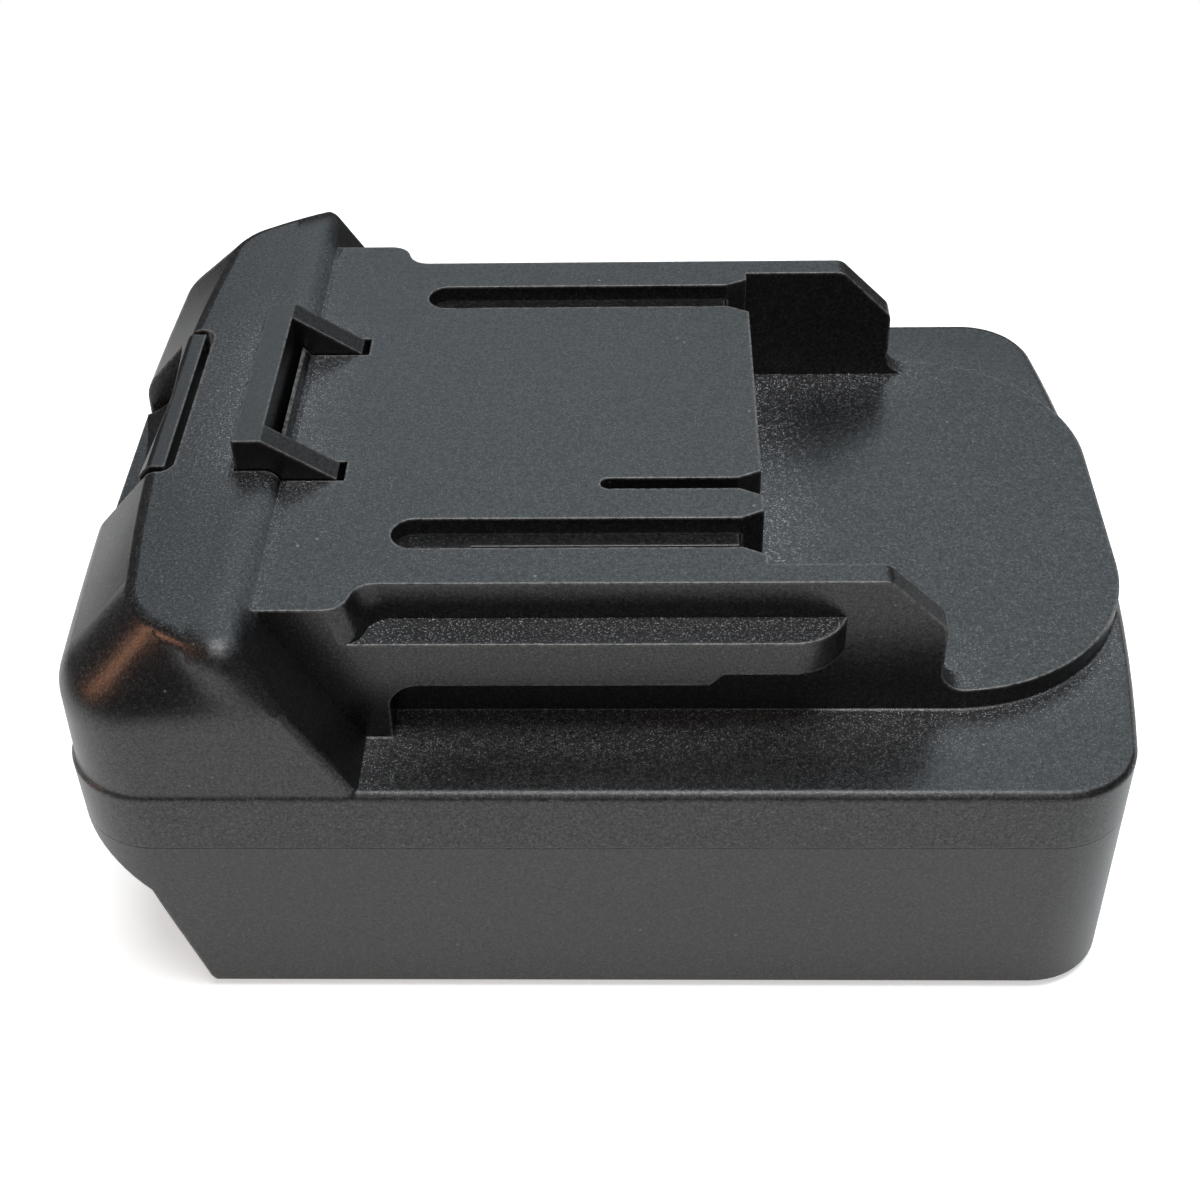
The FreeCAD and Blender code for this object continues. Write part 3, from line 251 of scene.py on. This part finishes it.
def worn_and_highlit_edges(nodes, edge, worn_and_highlit):
    """Patchy wear and painted highlight along outward edges, more up to the ledge, none at the sheltered
    joint of the shells.
    """
    patchy = nodes.ramp(nodes.noise(WEAR_AND_HIGHLIGHT_PATCH_SCALE, 3.0, 0.6), *WEAR_AND_HIGHLIGHT_PATCH_SPAN, WEAR_AND_HIGHLIGHT_LEAST, 1.0)
    from_seam = nodes.size_of(nodes.math("SUBTRACT", nodes.along("Z"), SEAM_LEVEL))
    # More wear and painted highlight up to the ledge.
    rubbed_and_highlit = nodes.ramp(nodes.along("Z"), LEDGE_LEVEL, LEDGE_LEVEL + WEAR_AND_HIGHLIGHT_FADE,
                        WEAR_AND_HIGHLIGHT_LOW * worn_and_highlit, WEAR_AND_HIGHLIGHT_HIGH * worn_and_highlit)
    return nodes.product(edge, patchy, nodes.ramp(from_seam, *SEAM_SHELTER), rubbed_and_highlit)


def rounded_normal(nodes, edge, flows):
    """Shading rounded at outward edges, more at the ledge, and widely where faces flow together."""
    ledge = nodes.between(nodes.along("Z"), LEDGE_LEVEL - LEDGE_DEPTH, LEDGE_LEVEL, LEDGE_FADE)
    radius = nodes.ramp(ledge, 0.0, 1.0, EDGE_RADIUS, LEDGE_RADIUS)
    amount = nodes.math("MAXIMUM", edge, ledge)
    if flows:
        wide = flowing_faces(nodes)
        radius = nodes.math("MAXIMUM", radius, nodes.ramp(wide, 0.0, 1.0, 0.0, FLOWING_RADIUS))
        amount = nodes.math("MAXIMUM", amount, wide)
    rounded = nodes.add("ShaderNodeBevel", {"Radius": radius}, samples=SHADING_SAMPLES).outputs["Normal"]
    flat = nodes.add("ShaderNodeNewGeometry").outputs["Normal"]
    node = nodes.add("ShaderNodeMix", data_type="VECTOR")
    for socket, value in ((0, amount), (4, flat), (5, rounded)):
        nodes.feed(node.inputs[socket], value)
    return node.outputs[1]


def dusted_and_lit(nodes, shade, coarse, fine, dust_and_light):
    """A thin pale film and flecks: dust, with painted light in the shade in the lee of walls and painted
    glints of the grain; and scattered bits of lint.
    """
    settled_and_lit = dust_and_lit_lee(nodes)
    # Pale film: dust, and painted light that lightens the shade in the lee of walls.
    shade = nodes.mix(nodes.ramp(settled_and_lit, 0.0, 1.0, 0.0, DUST_AND_LIGHT_FILM * dust_and_light), shade, DUST_AND_LIGHT_COLOUR)
    # Pale flecks: dust, and painted glints of the grain.
    fleck = nodes.product(nodes.ramp(fine, *FLECK_FINE), nodes.ramp(coarse, *FLECK_COARSE),
                          nodes.ramp(settled_and_lit, 0.0, 1.0, OPEN_FLECKS * dust_and_light, dust_and_light))
    shade = nodes.mix(fleck, shade, DUST_AND_LIGHT_COLOUR)
    lint = nodes.product(nodes.spots(LINT_SCALE, LINT_SIZE, LINT_SOFTNESS),
                         nodes.ramp(nodes.noise(LINT_PATCH_SCALE), *LINT_PATCH_SPAN), LINT_AMOUNT * dust_and_light)
    return nodes.mix(lint, shade, LINT_COLOUR)


# Materials.

def moulded_plastic(name, colour, grain=1.0, dust_and_light=1.0, worn_and_highlit=1.0, roughness=0.29, gloss=0.7, flows=False):
    """Spark-eroded plastic: near-black, with a fine grain that catches light, pale dust with painted light
    and glints, and worn edges with a painted highlight.
    """
    nodes = Nodes(name)
    cloud = nodes.ramp(nodes.noise(CLOUD_SCALE, 4.0, 0.6), *CLOUD_SPAN)
    coarse = nodes.noise(COARSE_SCALE, 2.0, 0.6)
    fine = nodes.noise(FINE_SCALE, 1.0, 0.5)
    lighter = tuple(channel * CLOUD_LIGHTENING for channel in colour[:3]) + (1.0,)
    shade = dusted_and_lit(nodes, nodes.mix(cloud, colour, lighter), coarse, fine, dust_and_light)
    edge = outward_edges(nodes, EDGE_REACH)
    # Wear mask, which also paints a highlight along outward edges.
    wear_and_highlight = worn_and_highlit_edges(nodes, edge, worn_and_highlit)
    shine = nodes.math("ADD", nodes.ramp(cloud, 0.0, 1.0, roughness, roughness + SHINE_SPREAD),
                       nodes.ramp(coarse, 0.3, 0.7, -SHINE_SPREAD, SHINE_SPREAD))
    pits = nodes.math("ADD", nodes.ramp(coarse, *GRAIN_SPAN, -PIT_SPREAD, PIT_SPREAD),
                      nodes.ramp(fine, *GRAIN_SPAN, -PIT_SPREAD, PIT_SPREAD))
    pitted = nodes.ramp(pits, -2 * PIT_SPREAD, 2 * PIT_SPREAD,
                        1.0 - PIT_SHADE * grain, 1.0 + PIT_SHADE * grain)
    texture = nodes.bump(coarse, GRAIN_STRENGTH * grain, COARSE_DEPTH, rounded_normal(nodes, edge, flows))
    nodes.finish(Base_Color=nodes.mix(wear_and_highlight, shade, WORN_AND_HIGHLIGHT_COLOUR),
                 Roughness=nodes.math("ADD", shine, nodes.product(wear_and_highlight, WORN_ROUGHNESS)),
                 Normal=nodes.bump(fine, GRAIN_STRENGTH * grain, FINE_DEPTH, texture),
                 Specular_IOR_Level=nodes.product(pitted, gloss))
    return nodes.material


def metal(name, colour, roughness, tarnish):
    """Drawn metal: tarnish in stains, and streaks along the object."""
    nodes = Nodes(name)
    stain = nodes.ramp(nodes.noise(500.0, 4.0, 0.6), 0.35, 0.75)
    streaks = nodes.noise(900.0, 2.0, 0.5, stretch=(0.15, 1.0, 1.0))
    nodes.finish(Base_Color=nodes.mix(stain, colour, tarnish), Metallic=1.0,
                 Roughness=nodes.ramp(streaks, 0.3, 0.7, roughness, roughness + 0.2),
                 Normal=nodes.bump(streaks, 0.2, 0.02 * MM))
    return nodes.material


def plain_polymer(name, dark, light, roughness):
    """Board, package and wire plastics: clouded in colour and gloss, with a light grain."""
    nodes = Nodes(name)
    cloud = nodes.ramp(nodes.noise(240.0, 4.0, 0.6), 0.3, 0.75)
    nodes.finish(Base_Color=nodes.mix(cloud, dark, light),
                 Roughness=nodes.ramp(cloud, 0.0, 1.0, roughness, roughness + 0.12),
                 Normal=nodes.bump(nodes.noise(3000.0), 0.2, 0.02 * MM))
    return nodes.material


def dress():
    """Gives every piece its material."""
    chip = plain_polymer("chip", (0.012, 0.012, 0.012, 1), (0.024, 0.024, 0.024, 1), roughness=0.5)
    spring = metal("spring_steel", (0.62, 0.62, 0.63, 1), roughness=0.22, tarnish=(0.42, 0.42, 0.44, 1))
    contact = metal("contact_metal", (0.72, 0.60, 0.38, 1), roughness=0.28, tarnish=(0.48, 0.36, 0.22, 1))
    blade = metal("blade_metal", (0.78, 0.74, 0.66, 1), roughness=0.25, tarnish=(0.56, 0.48, 0.36, 1))
    looks = {
        "upper_housing": moulded_plastic("upper_shell", (0.0045, 0.0044, 0.0047, 1), flows=True),
        "lower_housing": moulded_plastic("lower_shell", (0.0060, 0.0056, 0.0058, 1), grain=0.5, dust_and_light=0.6,
                                         worn_and_highlit=0.7, gloss=0.8),
        "release_latch": moulded_plastic("latch", (0.0045, 0.0044, 0.0045, 1), grain=0.5, dust_and_light=0.4, worn_and_highlit=0.6),
        "contact_carrier": moulded_plastic("carrier", (0.0022, 0.0022, 0.0023, 1), grain=0.7, dust_and_light=0.15,
                                           worn_and_highlit=0.3),
        "terminal_block": moulded_plastic("terminal_plastic", (0.010, 0.010, 0.0105, 1), grain=0.6, worn_and_highlit=0.5),
        "housing_screws": metal("screw_steel", (0.20, 0.20, 0.21, 1), roughness=0.35,
                                tarnish=(0.12, 0.12, 0.12, 1)),
        "filter_capacitor": metal("capacitor_can", (0.72, 0.73, 0.74, 1), roughness=0.3,
                                  tarnish=(0.58, 0.59, 0.60, 1)),
        "circuit_board": plain_polymer("board", (0.010, 0.085, 0.030, 1), (0.016, 0.13, 0.048, 1),
                                       roughness=0.35),
        "fuse": plain_polymer("fuse_body", (0.62, 0.58, 0.50, 1), (0.74, 0.71, 0.63, 1), roughness=0.4),
        "positive_lead": plain_polymer("lead_red", (0.36, 0.012, 0.012, 1), (0.5, 0.03, 0.025, 1),
                                       roughness=0.4),
        "negative_lead": plain_polymer("lead_black", (0.010, 0.010, 0.010, 1), (0.022, 0.022, 0.022, 1),
                                       roughness=0.4),
        "sense_lead": plain_polymer("lead_yellow", (0.55, 0.36, 0.03, 1), (0.68, 0.48, 0.06, 1),
                                    roughness=0.4),
        "control_chip": chip, "power_transistors": chip,
        "latch_spring_left": spring, "latch_spring_right": spring,
        "positive_output_contact": contact, "negative_output_contact": contact,
        "signal_output_contact": contact,
        "positive_input_blade": blade, "negative_input_blade": blade, "sense_input_blade": blade,
    }
    for name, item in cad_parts.items():
        for slot in item.material_slots:
            slot.material = looks[name]


def shorten_springs():
    """Gives each return spring a mesh of its own."""
    for name in ("latch_spring_left", "latch_spring_right"):
        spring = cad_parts[name]
        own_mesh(spring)


# Studio: a pale floor, a wide cool panel behind, a lamp above, a dim one in front and a small warm one
# beyond the button end.

def grey(value):
    return (value, value, value, 1.0)


def make_floor():
    mesh = bpy.data.meshes.new("floor")
    low = cad_box[0][2] - FLOOR_GAP
    signs = ((-1, -1), (1, -1), (1, 1), (-1, 1))
    corners = [(x * FLOOR_HALF_LENGTH, y * FLOOR_HALF_WIDTH, low) for x, y in signs]
    mesh.from_pydata(corners, [], [(0, 1, 2, 3)])
    mesh.materials.append(floor_material())
    floor = bpy.data.objects.new("floor", mesh)
    bpy.context.collection.objects.link(floor)


def floor_material():
    """A pale floor that keeps the object's shadow and is white where nothing shades it."""
    nodes = Nodes("floor")
    path = nodes.add("ShaderNodeLightPath")
    glow = nodes.math("ADD", nodes.product(path.outputs["Is Camera Ray"], GLOW_SEEN),
                      nodes.product(path.outputs["Is Glossy Ray"], GLOW_MIRRORED))
    surface = nodes.add("ShaderNodeBsdfDiffuse", {"Color": grey(FLOOR_COLOUR)})
    light = nodes.add("ShaderNodeEmission", {"Color": grey(1.0), "Strength": glow})
    both = nodes.add("ShaderNodeAddShader", {0: surface.outputs[0], 1: light.outputs[0]})
    nodes.feed(nodes.tree.nodes["Material Output"].inputs["Surface"], both.outputs[0])
    return nodes.material


def make_world():
    """A room that is white to look at and gives the object only a little light."""
    world = bpy.data.worlds.new("world")
    bpy.context.scene.world = world
    world.use_nodes = True
    tree = world.node_tree
    path = tree.nodes.new("ShaderNodeLightPath")
    strength = tree.nodes.new("ShaderNodeMapRange")
    tree.links.new(path.outputs["Is Camera Ray"], strength.inputs["Value"])
    strength.inputs["To Min"].default_value = ROOM_LIGHT
    strength.inputs["To Max"].default_value = 1.0
    tree.links.new(strength.outputs["Result"], tree.nodes["Background"].inputs["Strength"])
    tree.nodes["Background"].inputs["Color"].default_value = grey(1.0)


def add_panel(name, place, width, height, radiance, colour):
    """A soft rectangular lamp of a given brightness; its power follows from its area."""
    data = bpy.data.lights.new(name, "AREA")
    data.shape = "RECTANGLE"
    data.size, data.size_y = width, height
    data.energy = radiance * math.pi * width * height
    data.color = colour
    panel = bpy.data.objects.new(name, data)
    panel.location = place
    panel.rotation_euler = (Vector(LAMPS_AIM) - Vector(place)).to_track_quat("-Z", "Y").to_euler()
    bpy.context.collection.objects.link(panel)


def make_studio():
    make_floor()
    make_world()
    add_panel("back_panel", place=(0.33, 0.80, 1.20), width=2.0, height=1.3, radiance=1.25,
              colour=(0.80, 0.92, 1.0))
    add_panel("top_lamp", place=(0.05, -0.10, 1.2), width=0.6, height=0.6, radiance=9.5,
              colour=(0.98, 1.0, 1.0))
    add_panel("front_lamp", place=(0.10, -0.60, 0.70), width=0.7, height=0.22, radiance=1.6,
              colour=(1.0, 0.99, 0.97))
    add_panel("warm_lamp", place=(-0.75, -0.24, 0.32), width=0.07, height=0.26, radiance=14.0,
              colour=(1.0, 0.47, 0.27))


make_camera()
dress()
shorten_springs()
make_studio()
bpy.context.scene.view_settings.view_transform = "Standard"
